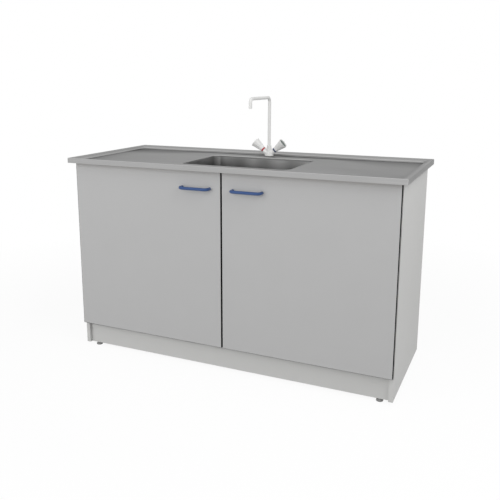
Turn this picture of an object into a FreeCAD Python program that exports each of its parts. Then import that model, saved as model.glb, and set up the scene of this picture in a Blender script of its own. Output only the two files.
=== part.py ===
import FreeCAD
import Part
import math
import os

from FreeCAD import Vector

# Laboratory sink unit: a two-door board cabinet on levelling feet under a pressed
# stainless worktop with a raised rim, a welded bowl, a bottle trap and a mixer tap.
# Millimetres. +Z is up and the doors face -Y. The origin is on the floor under the
# centre of the whole unit, with the handles that stand out in front of the worktop.

# ---------------------------------------------------------------- driving dimensions

# Whole unit
overall_height = 900.0
side_overhang = 22.0
front_overhang = 50.0
rear_overhang = 25.0
carcass_width = 1456.0
carcass_depth = 560.0
panel = 18.0
back_thickness = 8.0
rear_rail_height = 100.0
service_gap = 78.0
foot_height = 12.0

# Worktop sheet
sheet = 1.2
apron_height = 22.0
return_lip = 15.0
worktop_corner = 5.0
apron_edge_radius = 3.0
rim_land = 5.0
side_slope_run = 24.0
rear_slope_run = 50.0
slope_drop = 6.0
wall_run = 3.0
deck_depth = 14.0
land_corner = 10.0
tray_corner = 22.0
rim_break_radius = 4.0
deck_cove_radius = 3.0

# Bowl
bowl_length = 502.0
bowl_from_front = 139.0
bowl_to_tap = 69.5
bowl_corner = 32.0
bowl_depth = 200.0
bowl_wall = 1.0
bowl_roll_radius = 2.5
bowl_floor_radius = 25.0
bowl_flange = 16.0
drain_recess_radius = 44.0
drain_recess_depth = 5.0
drain_hole_radius = 25.0

# Doors
door_thickness = 16.0
door_gap = 3.7
door_side_margin = 2.5
door_centre_gap = 6.0
door_bottom = 116.0
door_top_gap = 4.0
edging = 1.0

# Door handles
handle_radius = 6.5
handle_spacing = 128.0
handle_reach = 30.0
handle_bend = 16.0
handle_from_top = 70.0
handle_from_edge = 49.5
handle_screw_radius = 2.0
handle_screw_reach = 12.0

# Cup hinges
hinge_from_end = 100.0
cup_radius = 17.5
cup_depth = 11.5
cup_from_edge = 20.5
cup_flange_radius = 20.0
cup_flange = 1.0
pin_from_edge = 6.5
pin_depth = 4.8
hinge_pin_radius = 1.25
hinge_pin_length = 15.0
hinge_eye_radius = 2.3
hinge_arm_width = 10.0
hinge_arm_thickness = 3.0
hinge_plate_thickness = 4.0
hinge_plate_length = 46.0
hinge_plate_height = 40.0
hinge_plate_setback = 12.0
hinge_screw_spacing = 26.0

# Plinth and feet
plinth_setback = 13.5
plinth_thickness = 16.0
foot_from_side = 37.0
foot_radius = 14.0
foot_disc_height = 8.0
foot_spindle_radius = 4.0
foot_spindle_length = 50.0
foot_socket_radius = 5.5
foot_socket_depth = 26.0

# Fasteners in the boards
dowel_radius = 4.0
dowel_in_side = 12.0
dowel_in_board = 18.0
screw_radius = 1.75
screw_length = 14.0
screw_head_radius = 3.5
screw_head_height = 2.0
bracket_side = 32.0
bracket_width = 30.0
bracket_thickness = 2.0
front_bracket_inset = 130.0
rear_bracket_inset = 100.0

# Waste and bottle trap
pipe_radius = 20.0
pipe_bore = 18.0
spigot_radius = 23.0
nut_radius = 29.0
nut_skirt = 14.0
nut_length = 22.0
waste_gasket_height = 3.0
waste_cup_radius = 30.0
waste_cup_depth = 28.0
waste_wall = 3.0
waste_length = 65.0
strainer_thickness = 2.0
strainer_screw_radius = 3.0
outlet_below_waste = 90.0
trap_head_radius = 36.0
trap_head_bore = 32.0
trap_head_height = 56.0
trap_neck_length = 26.0
trap_branch_length = 64.0
trap_depth = 118.0
dip_pipe_depth = 82.0
back_hole_radius = 24.0

# Tap
tap_from_rear = 82.5
tap_hole_radius = 17.5
tap_gasket_height = 1.5
tap_base_radius = 21.0
tap_base_height = 17.5
tap_base_fillet = 1.5
tap_column_radius = 12.0
tap_column_height = 38.5
shank_radius = 14.0
shank_wall = 2.5
shank_in_body = 6.0
shank_below_board = 38.0
tail_radius = 4.0
tail_wall = 1.0
tail_pitch = 12.0
tail_spread = 100.0
tail_length = 240.0
spout_radius = 7.5
spout_bore = 6.0
spout_rise = 272.5
spout_reach = 225.0
spout_drop = 43.0
spout_bend = 20.0
spout_insertion = 15.0
bead_radius = 9.5
bead_height = 5.0
collar_radius = 10.5
collar_height = 10.0

# Valves and their handles, measured along each valve's slanted axis
valve_angle = 39.0
valve_rise = 4.5
valve_seat = 20.0
boss_radius = 11.5
boss_end = 33.5
headwork_radius = 9.0
valve_neck_radius = 7.0
valve_neck_end = 36.0
spindle_radius = 4.0
spindle_start = 26.0
spindle_end = 72.0
ring_radius = 12.0
ring_bore = 10.0
handle_start = 41.0
handle_end = 92.0
handle_root_radius = 11.8
handle_tip_radius = 23.0
handle_wall = 2.5
hub_radius = 7.0
cap_recess = 3.5
cap_thickness = 2.5

# Clearances
running_fit = 0.05
slip_gap = 0.4
end_play = 0.3
board_gap = 0.3
rail_gap = 5.0
beyond = 1.0

# ---------------------------------------------------------------- derived positions

worktop_underside = overall_height - apron_height
deck_top = overall_height - deck_depth
deck_underside = deck_top - sheet
inner_half = carcass_width / 2 - panel
worktop_length = carcass_width + 2 * side_overhang
worktop_depth = front_overhang + carcass_depth + rear_overhang
worktop_x = (-worktop_length / 2, worktop_length / 2)
handle_lead = handle_reach + handle_radius + door_thickness + door_gap - front_overhang
worktop_y = ((handle_lead - worktop_depth) / 2, (handle_lead + worktop_depth) / 2)
carcass_front = worktop_y[0] + front_overhang
carcass_rear = worktop_y[1] - rear_overhang
tap_y = worktop_y[1] - tap_from_rear
tap_foot = deck_top + tap_gasket_height
bowl_x = (-bowl_length / 2, bowl_length / 2)
bowl_y = (worktop_y[0] + bowl_from_front, tap_y - bowl_to_tap)
bowl_floor = deck_top - bowl_depth
recess_floor = bowl_floor - drain_recess_depth
recess_underside = recess_floor - bowl_wall
drain = Vector(0, sum(bowl_y) / 2, 0)
waste_top = recess_underside - waste_gasket_height
waste_end = waste_top - waste_length
trap_outlet_height = waste_end - outlet_below_waste
door_back = carcass_front - door_gap
door_face = door_back - door_thickness
door_top = worktop_underside - door_top_gap
door_edge = carcass_width / 2 - door_side_margin
hinge_heights = (door_bottom + hinge_from_end, door_top - hinge_from_end)
plinth_inset = plinth_setback + plinth_thickness / 2
plinth_ys = {"front": carcass_front + plinth_inset, "rear": carcass_rear - plinth_inset}

parts = {}


# ---------------------------------------------------------------- shape helpers

def box(x, y, z):
    """Block between the pairs of limits x, y and z."""
    return Part.makeBox(x[1] - x[0], y[1] - y[0], z[1] - z[0], Vector(x[0], y[0], z[0]))


def rod(radius, start, end):
    """Round bar between two points."""
    axis = end - start
    return Part.makeCylinder(radius, axis.Length, start, axis)


def tube(outer, inner, start, end):
    """Round tube between two points."""
    return rod(outer, start, end).cut(rod(inner, start, end))


def around(centre, width):
    """Pair of limits of a band of one width about its centre."""
    return (centre - width / 2, centre + width / 2)


def grown(limits, by):
    """Pair of limits moved apart by the same amount at both ends."""
    return (limits[0] - by, limits[1] + by)


def rounded_outline(x, y, radius, z):
    """Rectangle with rounded corners, as a closed wire at height z."""
    (left, right), (front, rear) = x, y
    corners = [(right - radius, front + radius, -90), (right - radius, rear - radius, 0),
               (left + radius, rear - radius, 90), (left + radius, front + radius, 180)]
    arcs = []
    for centre_x, centre_y, start in corners:
        circle = Part.Circle(Vector(centre_x, centre_y, z), Vector(0, 0, 1), radius)
        arcs.append(Part.Arc(circle, math.radians(start), math.radians(start + 90)).toShape())
    edges = []
    for arc, following in zip(arcs, arcs[1:] + arcs[:1]):
        edges.append(arc)
        edges.append(Part.makeLine(arc.Vertexes[-1].Point, following.Vertexes[0].Point))
    return Part.Wire(edges)


def rounded_block(x, y, radius, z):
    """Upright block with rounded corners, between the limits x, y and z."""
    face = Part.Face(rounded_outline(x, y, radius, z[0]))
    return face.extrude(Vector(0, 0, z[1] - z[0]))


def turned(profile, base=Vector(0, 0, 0)):
    """Solid turned about the upright axis through base; profile is (radius, height)."""
    corners = [base + Vector(radius, 0, height) for radius, height in profile]
    face = Part.Face(Part.makePolygon(corners + corners[:1]))
    return face.revolve(base, Vector(0, 0, 1), 360)


def bent_rod(points, bend, radius):
    """Round bar along straight runs joined by tangent arcs of one radius."""
    edges = []
    start = points[0]
    for before, corner, after in zip(points, points[1:], points[2:]):
        back = (before - corner).normalize()
        ahead = (after - corner).normalize()
        half_turn = back.getAngle(ahead) / 2
        entry = corner + back * (bend / math.tan(half_turn))
        leave = corner + ahead * (bend / math.tan(half_turn))
        inward = (back + ahead).normalize()
        middle = corner + inward * (bend / math.sin(half_turn) - bend)
        edges.append(Part.makeLine(start, entry))
        edges.append(Part.Arc(entry, middle, leave).toShape())
        start = leave
    edges.append(Part.makeLine(start, points[-1]))
    section = Part.Wire(Part.makeCircle(radius, points[0], points[1] - points[0]))
    return Part.Wire(edges).makePipeShell([section], True, True)


def bent_tube(points, bend, outer, inner):
    """Round tube along straight runs joined by tangent arcs of one radius."""
    first = points[0] + (points[0] - points[1]).normalize() * beyond
    last = points[-1] + (points[-1] - points[-2]).normalize() * beyond
    core = bent_rod([first] + points[1:-1] + [last], bend, inner)
    return bent_rod(points, bend, outer).cut(core)


def edges_at(shape, z, x=worktop_x, y=worktop_y):
    """Level edges of shape at height z, within the limits x and y."""
    found = []
    for edge in shape.Edges:
        bound = edge.BoundBox
        level = abs(bound.ZMin - z) < 0.01 and abs(bound.ZMax - z) < 0.01
        inside_x = x[0] - 1 < bound.XMin and bound.XMax < x[1] + 1
        inside_y = y[0] - 1 < bound.YMin and bound.YMax < y[1] + 1
        if level and inside_x and inside_y:
            found.append(edge)
    return found


def mirrored(shape):
    """Copy of shape on the other side of the unit's middle."""
    return shape.mirror(Vector(0, 0, 0), Vector(1, 0, 0))


def both_sides(shapes):
    """The shapes and their copies on the other side."""
    return shapes + [mirrored(shape) for shape in shapes]


def add_pair(name, shape):
    """One node on the left, modelled as given, and its mirror image on the right."""
    parts["left_" + name] = shape
    parts["right_" + name] = mirrored(shape)


def cut_all(shape, tools):
    """Shape with every tool cut away."""
    return shape.cut(Part.makeCompound(tools))


# ---------------------------------------------------------------- fasteners in the boards

bottom_z = (door_bottom, door_bottom + panel)
top_rail_z = (worktop_underside - panel, worktop_underside)
front_rail_y = (carcass_front, bowl_y[0] - bowl_flange - rail_gap)
rear_rail_y = (carcass_rear - back_thickness - panel, carcass_rear - back_thickness)
rear_rail_z = (worktop_underside - rear_rail_height, worktop_underside)
plinth_z = (foot_height, door_bottom)


def spaced(limits, count):
    """Places of count fasteners along a board, half a pitch in from its ends."""
    pitch = (limits[1] - limits[0]) / count
    return [limits[0] + pitch * (index + 0.5) for index in range(count)]


dowel_places = [(y, sum(bottom_z) / 2) for y in spaced((carcass_front, carcass_rear), 3)]
dowel_places += [(y, sum(top_rail_z) / 2) for y in spaced(front_rail_y, 2)]
dowel_places += [(sum(rear_rail_y) / 2, z) for z in spaced(rear_rail_z, 2)]
dowel_places += [(y, z) for y in plinth_ys.values() for z in spaced(plinth_z, 2)]

# Each dowel reaches into the side panel and into the end of the board beside it.
left_dowels = []
for y, z in dowel_places:
    outer_end = Vector(-inner_half - dowel_in_side, y, z)
    left_dowels.append(rod(dowel_radius, outer_end, Vector(-inner_half + dowel_in_board, y, z)))
dowels = both_sides(left_dowels)
parts["carcass_dowels"] = Part.makeCompound(dowels)

# Identical wood screws hold the hinge plates and the worktop brackets to the sides.
plate_front = carcass_front + hinge_plate_setback
hinge_plate_y = (plate_front, plate_front + hinge_plate_length)
bracket_ys = (carcass_front + front_bracket_inset, carcass_rear - rear_bracket_inset)
screw_seats = []
for height in hinge_heights:
    for z in around(height, hinge_screw_spacing):
        screw_seats.append(Vector(-inner_half + hinge_plate_thickness, sum(hinge_plate_y) / 2, z))
for y in bracket_ys:
    bracket_screw_z = worktop_underside - bracket_side / 2
    screw_seats.append(Vector(-inner_half + bracket_thickness, y, bracket_screw_z))

left_screws = []
left_shanks = []
for seat in screw_seats:
    shank = rod(screw_radius, seat, seat - Vector(screw_length, 0, 0))
    head = rod(screw_head_radius, seat, seat + Vector(screw_head_height, 0, 0))
    left_shanks.append(shank)
    left_screws.append(head.fuse(shank).removeSplitter())
parts["mounting_screws"] = Part.makeCompound(both_sides(left_screws))


# ---------------------------------------------------------------- carcass

side_x = (-carcass_width / 2, -inner_half)
side_panel = box(side_x, (carcass_front, carcass_rear), (foot_height, worktop_underside))
add_pair("side_panel", cut_all(side_panel, left_dowels + left_shanks))

span = (-inner_half, inner_half)
bottom_y = (carcass_front, carcass_rear - back_thickness)
parts["bottom_panel"] = cut_all(box(span, bottom_y, bottom_z), dowels)
parts["front_top_rail"] = cut_all(box(span, front_rail_y, top_rail_z), dowels)
parts["rear_top_rail"] = cut_all(box(span, rear_rail_y, rear_rail_z), dowels)

# The back stops below the rear rail, which leaves a gap for the supply pipes, and has
# a hole for the waste pipe.
back_y = (carcass_rear - back_thickness, carcass_rear)
back_z = (door_bottom, rear_rail_z[0] - service_gap)
back_hole = rod(back_hole_radius, Vector(drain.x, back_y[0] - beyond, trap_outlet_height),
                Vector(drain.x, back_y[1] + beyond, trap_outlet_height))
parts["back_panel"] = box(span, back_y, back_z).cut(back_hole)


# ---------------------------------------------------------------- plinth and levelling feet

# Each plinth board carries two feet, whose threaded sockets sit in its lower edge.
socket_flange = 1.5
thread_room = 20.0
foot_x = inner_half - foot_from_side
sockets = []
for board_name, board_y in plinth_ys.items():
    board = cut_all(box(span, around(board_y, plinth_thickness), plinth_z), dowels)
    for side_name, place_x in (("left", -foot_x), ("right", foot_x)):
        foot = Vector(place_x, board_y, 0)
        seat = foot + Vector(0, 0, foot_height)
        socket_top = seat + Vector(0, 0, foot_socket_depth)
        hole_top = socket_top + Vector(0, 0, thread_room)
        board = board.cut(rod(foot_socket_radius, seat, socket_top))
        board = board.cut(rod(foot_spindle_radius + slip_gap, socket_top, hole_top))

        flange_base = seat - Vector(0, 0, socket_flange)
        socket = rod(foot_socket_radius, seat, socket_top)
        socket = socket.fuse(rod(foot_socket_radius + 2, flange_base, seat))
        sockets.append(socket.cut(rod(foot_spindle_radius + running_fit, flange_base, socket_top)))

        disc_top = foot + Vector(0, 0, foot_disc_height)
        disc = rod(foot_radius, foot, disc_top)
        disc = disc.makeFillet(foot_disc_height / 4, edges_at(disc, disc_top.z))
        spindle = rod(foot_spindle_radius, foot, foot + Vector(0, 0, foot_spindle_length))
        parts[board_name + "_" + side_name + "_foot"] = disc.fuse(spindle)
    parts[board_name + "_plinth_board"] = board
parts["foot_sockets"] = Part.makeCompound(sockets)


# ---------------------------------------------------------------- worktop

def inset_ring(side_inset, rear_inset, radius, z):
    """Outline set in from the worktop's edge, further at the rear than elsewhere."""
    x = grown(worktop_x, -side_inset)
    y = (worktop_y[0] + side_inset, worktop_y[1] - rear_inset)
    return rounded_outline(x, y, radius, z)


def rimmed_block(inset, bottom, break_inset, cove_inset, levels):
    """Block with a raised rim round a tray; levels are the land, break and cove heights."""
    land, slope_end, cove = levels
    block = rounded_block(grown(worktop_x, -inset), grown(worktop_y, -inset),
                          worktop_corner - inset, (bottom, land))
    block = block.makeFillet(apron_edge_radius - inset, edges_at(block, land))

    land_ring = inset_ring(rim_land, rim_land, land_corner, land)
    break_ring = inset_ring(break_inset[0], break_inset[1], tray_corner + 2, slope_end)
    cove_ring = inset_ring(cove_inset[0], cove_inset[1], tray_corner, cove)
    slope = Part.makeLoft([land_ring, break_ring], True, True)
    wall = Part.makeLoft([break_ring, cove_ring], True, True)
    block = block.cut(slope.fuse(wall))
    block = block.makeFillet(rim_break_radius - inset, edges_at(block, slope_end))
    return block.makeFillet(deck_cove_radius + inset, edges_at(block, cove))


break_level = overall_height - slope_drop
side_break = rim_land + side_slope_run
rear_break = rim_land + rear_slope_run
skin = rimmed_block(0, worktop_underside, (side_break, rear_break),
                    (side_break + wall_run, rear_break + wall_run),
                    (overall_height, break_level, deck_top))

# The hollow under the skin follows it one sheet thickness below; the break and cove
# lines of the hollow lie slightly further out, where the offset faces meet.
break_shift = 0.75 * sheet
break_lowering = 0.846 * sheet
cove_shift = 0.69 * sheet
lip_top = worktop_underside + sheet
hollow = rimmed_block(sheet, lip_top, (side_break - break_shift, rear_break - break_shift),
                      (side_break + wall_run - cove_shift, rear_break + wall_run - cove_shift),
                      (overall_height - sheet, break_level - break_lowering, deck_underside))
lip_corner = 4.0
lip_opening = rounded_block(grown(worktop_x, -return_lip), grown(worktop_y, -return_lip),
                            lip_corner, (worktop_underside - beyond, lip_top))
hollow = hollow.fuse(lip_opening).removeSplitter()

# The deck rolls down into the bowl opening and ends in a short collar.
through_deck = (worktop_underside - beyond, overall_height)
skin = skin.cut(rounded_block(bowl_x, bowl_y, bowl_corner, through_deck))
skin = skin.makeFillet(bowl_roll_radius, edges_at(skin, deck_top, bowl_x, bowl_y))
collar_x = grown(bowl_x, sheet)
collar_y = grown(bowl_y, sheet)
collar_z = grown(through_deck, beyond)
hollow = hollow.cut(rounded_block(collar_x, collar_y, bowl_corner + sheet, collar_z))
roll_edges = edges_at(hollow, deck_underside, collar_x, collar_y)
hollow = hollow.makeFillet(bowl_roll_radius - sheet, roll_edges)

tap_axis = Vector(0, tap_y, 0)
tap_hole = rod(tap_hole_radius, tap_axis + Vector(0, 0, through_deck[0]),
               tap_axis + Vector(0, 0, through_deck[1]))
parts["worktop_sheet"] = skin.cut(hollow).cut(tap_hole)

board_inset = return_lip + board_gap
board = rounded_block(grown(worktop_x, -board_inset), grown(worktop_y, -board_inset),
                      lip_corner, (worktop_underside, deck_underside))
hole_growth = bowl_roll_radius + beyond
board_hole = rounded_block(grown(bowl_x, hole_growth), grown(bowl_y, hole_growth),
                           bowl_corner + hole_growth, through_deck)
parts["underlay_board"] = board.cut(board_hole).cut(tap_hole)


# ---------------------------------------------------------------- bowl

def above_drain(height):
    """Point on the axis of the drain."""
    return drain + Vector(0, 0, height)


# The bowl hangs from a flange that is welded to the collar and bonded to the board.
cavity = rounded_block(bowl_x, bowl_y, bowl_corner, (bowl_floor, worktop_underside))
cavity = cavity.makeFillet(bowl_floor_radius, edges_at(cavity, bowl_floor))
outside_x = grown(bowl_x, bowl_wall)
outside_y = grown(bowl_y, bowl_wall)
outside_z = (bowl_floor - bowl_wall, worktop_underside)
shell = rounded_block(outside_x, outside_y, bowl_corner + bowl_wall, outside_z)
shell = shell.makeFillet(bowl_floor_radius + bowl_wall, edges_at(shell, outside_z[0]))
flange = rounded_block(grown(bowl_x, bowl_flange), grown(bowl_y, bowl_flange),
                       bowl_corner + bowl_flange, (worktop_underside - bowl_wall, worktop_underside))
recess_shell = rod(drain_recess_radius + bowl_wall, above_drain(recess_underside),
                   above_drain(bowl_floor))
recess = rod(drain_recess_radius, above_drain(recess_floor), above_drain(bowl_floor + beyond))
drain_hole = rod(drain_hole_radius, above_drain(recess_underside - beyond), above_drain(bowl_floor))
parts["sink_bowl"] = shell.fuse([flange, recess_shell]).cut(cavity).cut(recess).cut(drain_hole)

left_brackets = []
for y in bracket_ys:
    upright = box((-inner_half, -inner_half + bracket_thickness), around(y, bracket_width),
                  (worktop_underside - bracket_side, worktop_underside))
    leg = box((-inner_half, -inner_half + bracket_side), around(y, bracket_width),
              (worktop_underside - bracket_thickness, worktop_underside))
    left_brackets.append(cut_all(upright.fuse(leg).removeSplitter(), left_shanks))
parts["worktop_brackets"] = Part.makeCompound(both_sides(left_brackets))


# ---------------------------------------------------------------- waste

spigot_bore = pipe_radius + slip_gap
parts["waste_gasket"] = tube(drain_recess_radius, drain_hole_radius + beyond,
                             above_drain(waste_top), above_drain(recess_underside))

# The strainer plate lies in the recess, with a collar in the drain hole and two rings
# of holes round its screw.
strainer_radius = drain_recess_radius - beyond
strainer_collar = drain_hole_radius - beyond
strainer_top = recess_floor + strainer_thickness
collar_base = above_drain(recess_floor - 6)
strainer = rod(strainer_radius, above_drain(recess_floor), above_drain(strainer_top))
strainer = strainer.fuse(tube(strainer_collar, strainer_collar - 2, collar_base,
                              above_drain(recess_floor)))
hole_base = above_drain(recess_floor - beyond)
strainer_holes = [rod(strainer_screw_radius + slip_gap, hole_base, above_drain(strainer_top))]
for hole_circle, count in ((10.0, 6), (17.5, 12)):
    for index in range(count):
        angle = 2 * math.pi * index / count
        offset = Vector(hole_circle * math.cos(angle), hole_circle * math.sin(angle), 0)
        strainer_holes.append(rod(2.8, hole_base + offset, above_drain(strainer_top) + offset))
parts["waste_strainer"] = cut_all(strainer, strainer_holes)

waste_bore = waste_cup_radius - waste_wall
cup_floor = waste_top - waste_cup_depth
throat = cup_floor - 7
waste_profile = [(waste_bore, waste_top), (strainer_radius, waste_top),
                 (strainer_radius, waste_top - 4), (waste_cup_radius, waste_top - 4),
                 (waste_cup_radius, cup_floor - waste_wall), (spigot_radius, throat - 2),
                 (spigot_radius, waste_end), (spigot_bore, waste_end),
                 (spigot_bore, throat), (waste_bore, cup_floor)]
waste_body = turned(waste_profile, drain)
hub_low = cup_floor + 1
hub_top = hub_low + 18
waste_body = waste_body.fuse(rod(2 * strainer_screw_radius, above_drain(hub_low), above_drain(hub_top)))
for index in range(3):
    rib = box((0, waste_bore + 1), around(drain.y, waste_wall), (hub_low, hub_top - 4))
    rib.rotate(drain, Vector(0, 0, 1), 120 * index + 90)
    waste_body = waste_body.fuse(rib)
screw_end = above_drain(hub_low + 4)
screw_hole = rod(strainer_screw_radius, screw_end, above_drain(hub_top + beyond))
parts["waste_body"] = waste_body.removeSplitter().cut(screw_hole)

screw_head_top = strainer_top + 2.5
screw_head = rod(2 * strainer_screw_radius, above_drain(strainer_top), above_drain(screw_head_top))
screw_head = screw_head.makeFillet(1.5, edges_at(screw_head, screw_head_top))
screw = rod(strainer_screw_radius, screw_end, above_drain(strainer_top)).fuse(screw_head)
slot = box(around(drain.x, 5 * strainer_screw_radius), around(drain.y, 1.2),
           (screw_head_top - 1.2, screw_head_top + beyond))
parts["strainer_screw"] = screw.cut(slot)


# ---------------------------------------------------------------- bottle trap

head_bottom = trap_outlet_height - trap_head_height / 2
head_top = trap_outlet_height + trap_head_height / 2
head_wall = trap_head_radius - trap_head_bore
neck_top = head_top + trap_neck_length
head_profile = [(trap_head_bore, head_bottom), (trap_head_radius, head_bottom),
                (trap_head_radius, head_top), (spigot_radius, head_top),
                (spigot_radius, neck_top), (spigot_bore, neck_top),
                (spigot_bore, head_top - head_wall), (trap_head_bore, head_top - head_wall)]
trap_head = turned(head_profile, drain)
outlet_axis = above_drain(trap_outlet_height)
branch_root = outlet_axis + Vector(0, trap_head_bore, 0)
branch_end = outlet_axis + Vector(0, trap_branch_length, 0)
branch = rod(spigot_radius, branch_root, branch_end)
branch = branch.cut(rod(trap_head_bore, above_drain(head_bottom), above_drain(head_top)))
branch_bore = rod(spigot_bore, branch_root - Vector(0, 3 * head_wall, 0), branch_end)
parts["trap_head"] = trap_head.fuse(branch).cut(branch_bore)

# The bottle screws up into the head and carries a wider grip below it.
bottle_low = trap_outlet_height - trap_depth
bottle_lip = head_bottom + 7
bottle_bore = trap_head_bore - waste_wall
grip_low = head_bottom - 16
bottle_profile = [(0, bottle_low), (bottle_bore - 9, bottle_low), (bottle_bore + 1, bottle_low + 6),
                  (trap_head_bore, bottle_low + 16), (trap_head_bore, grip_low),
                  (trap_head_radius, grip_low + 2), (trap_head_radius, head_bottom),
                  (trap_head_bore, head_bottom), (trap_head_bore, bottle_lip),
                  (bottle_bore, bottle_lip), (bottle_bore, bottle_low + 20),
                  (bottle_bore - 11, bottle_low + 4), (0, bottle_low + 4)]
parts["trap_bottle"] = turned(bottle_profile, drain)

dip_end = trap_outlet_height - dip_pipe_depth
pipe_top = waste_end + nut_length
parts["trap_inlet_pipe"] = tube(pipe_radius, pipe_bore, above_drain(dip_end), above_drain(pipe_top))

# The outlet pipe ends level with the worktop's rear edge; its bead stops the coupling.
outlet_start = branch_root + Vector(0, 6, 0)
outlet_end = Vector(drain.x, worktop_y[1], trap_outlet_height)
bead_start = Vector(drain.x, carcass_rear + beyond, trap_outlet_height)
outlet = rod(pipe_radius, outlet_start, outlet_end)
outlet = outlet.fuse(rod(pipe_radius + 2, bead_start, bead_start + Vector(0, 3, 0)))
parts["outlet_pipe"] = outlet.cut(rod(pipe_bore, outlet_start, outlet_end))


def slip_nut(spigot_tip, direction):
    """Nut that screws over a spigot's end and closes on the pipe that leaves it."""
    start = spigot_tip - direction * nut_skirt
    end = start + direction * nut_length
    skirt = tube(nut_radius, spigot_radius, start, spigot_tip)
    return skirt.fuse(tube(nut_radius, pipe_radius, spigot_tip, end))


parts["trap_nuts"] = Part.makeCompound([
    slip_nut(above_drain(waste_end), Vector(0, 0, -1)),
    slip_nut(above_drain(neck_top), Vector(0, 0, 1)),
    slip_nut(branch_end, Vector(0, 1, 0)),
])


# ---------------------------------------------------------------- mixer tap

def on_tap(height, x=0.0):
    """Point at a height above the tap's foot, on or beside its upright axis."""
    return tap_axis + Vector(x, 0, tap_foot + height)


def on_valve(shape):
    """Shape made about +Z at the origin, laid on the axis of the right-hand valve."""
    placed = shape.copy()
    placed.rotate(Vector(0, 0, 0), Vector(0, 1, 0), 90 - valve_angle)
    placed.translate(on_tap(valve_rise))
    return placed


def valve_rod(radius, start, end):
    """Round bar on the right-hand valve's axis between two distances from its root."""
    return on_valve(rod(radius, Vector(0, 0, start), Vector(0, 0, end)))


foot_point = on_tap(0)
column_top = on_tap(tap_column_height)
shank_top = on_tap(shank_in_body)
parts["tap_gasket"] = tube(tap_base_radius, tap_hole_radius, on_tap(-tap_gasket_height), foot_point)

base_top = on_tap(tap_base_height)
body = rod(tap_base_radius, foot_point, base_top)
body = body.makeFillet(tap_base_fillet, edges_at(body, base_top.z))
body = body.fuse(rod(tap_column_radius, foot_point, column_top))
above_foot = box(around(0, 4 * boss_end), around(tap_y, 4 * boss_radius),
                 (tap_foot, tap_foot + 2 * tap_column_height))
boss = valve_rod(boss_radius, spindle_radius, boss_end).common(above_foot)
body = body.fuse([boss, mirrored(boss)])

# Water rises in the two tails, crosses the valve seats and meets below the spout.
spout_foot = on_tap(tap_column_height - spout_insertion)
bead_base = on_tap(tap_column_height - bead_height)
tail_offset = tail_pitch / 2
tail_rise = shank_in_body + 2.5
valve_cuts = [valve_rod(headwork_radius, valve_seat, boss_end + beyond),
              valve_rod(spindle_radius, valve_seat - 12, valve_seat)]
body_cuts = both_sides(valve_cuts)
body_cuts.append(rod(shank_radius, foot_point, shank_top))
body_cuts.append(rod(spout_bore - 0.5, on_tap(tail_rise + 2), spout_foot))
body_cuts.append(rod(spout_radius + running_fit, spout_foot - Vector(0, 0, end_play), column_top))
body_cuts.append(rod(bead_radius + running_fit, bead_base, column_top))
for side in (-tail_offset, tail_offset):
    body_cuts.append(rod(tail_radius, on_tap(shank_in_body, side), on_tap(tail_rise, side)))
for cutter in body_cuts:
    body = body.cut(cutter)
parts["tap_body"] = body

shank_end = worktop_underside - shank_below_board
parts["tap_shank"] = tube(shank_radius, shank_radius - shank_wall,
                          on_tap(shank_end - tap_foot), shank_top)
board_face = on_tap(worktop_underside - tap_foot)
washer_face = board_face - Vector(0, 0, 4)
nut_face = washer_face - Vector(0, 0, 10)
parts["shank_washer"] = tube(tap_base_radius, shank_radius + slip_gap, washer_face, board_face)
parts["shank_nut"] = tube(shank_radius + 6, shank_radius, nut_face, washer_face)

# The supply tails leave the shank side by side and spread out below it.
tail_low = shank_end - tap_foot
tail_route = [on_tap(tail_rise, tail_offset), on_tap(tail_low - 40, tail_offset),
              on_tap(tail_low - 110, tail_spread / 2), on_tap(tail_low - tail_length, tail_spread / 2)]
tail = bent_tube(tail_route, 10 * tail_radius, tail_radius, tail_radius - tail_wall)
parts["supply_tails"] = Part.makeCompound([mirrored(tail), tail])

# The spout turns in the body on a bead, which the collar keeps down.
parts["spout_collar"] = tube(collar_radius, spout_radius + running_fit, column_top,
                             column_top + Vector(0, 0, collar_height))
reach = Vector(0, -spout_reach, 0)
spout_route = [spout_foot, on_tap(spout_rise), on_tap(spout_rise) + reach,
               on_tap(spout_rise - spout_drop) + reach]
spout = bent_tube(spout_route, spout_bend, spout_radius, spout_bore)
bead = tube(bead_radius, spout_bore, bead_base + Vector(0, 0, end_play),
            column_top - Vector(0, 0, end_play))
parts["spout_pipe"] = spout.fuse(bead)
aerator_low = spout_route[-1] + Vector(0, 0, 1)
parts["aerator"] = tube(spout_bore, spout_bore - 2, aerator_low, aerator_low + Vector(0, 0, 10))


# ---------------------------------------------------------------- valves and tap handles

def cone_radius(distance):
    """Outer radius of the flared handle at a distance along the valve's axis."""
    share = (distance - handle_start) / (handle_end - handle_start)
    return handle_root_radius + share * (handle_tip_radius - handle_root_radius)


# Headworks, spindles, colour rings and handles are made for the cold side and mirrored.
headwork = valve_rod(headwork_radius, valve_seat, boss_end)
headwork = headwork.fuse(valve_rod(valve_neck_radius, boss_end, valve_neck_end))
spindle_room = valve_rod(spindle_radius + running_fit, spindle_start - end_play, valve_neck_end)
headwork = headwork.cut(spindle_room)
parts["headworks"] = Part.makeCompound([mirrored(headwork), headwork])

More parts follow.
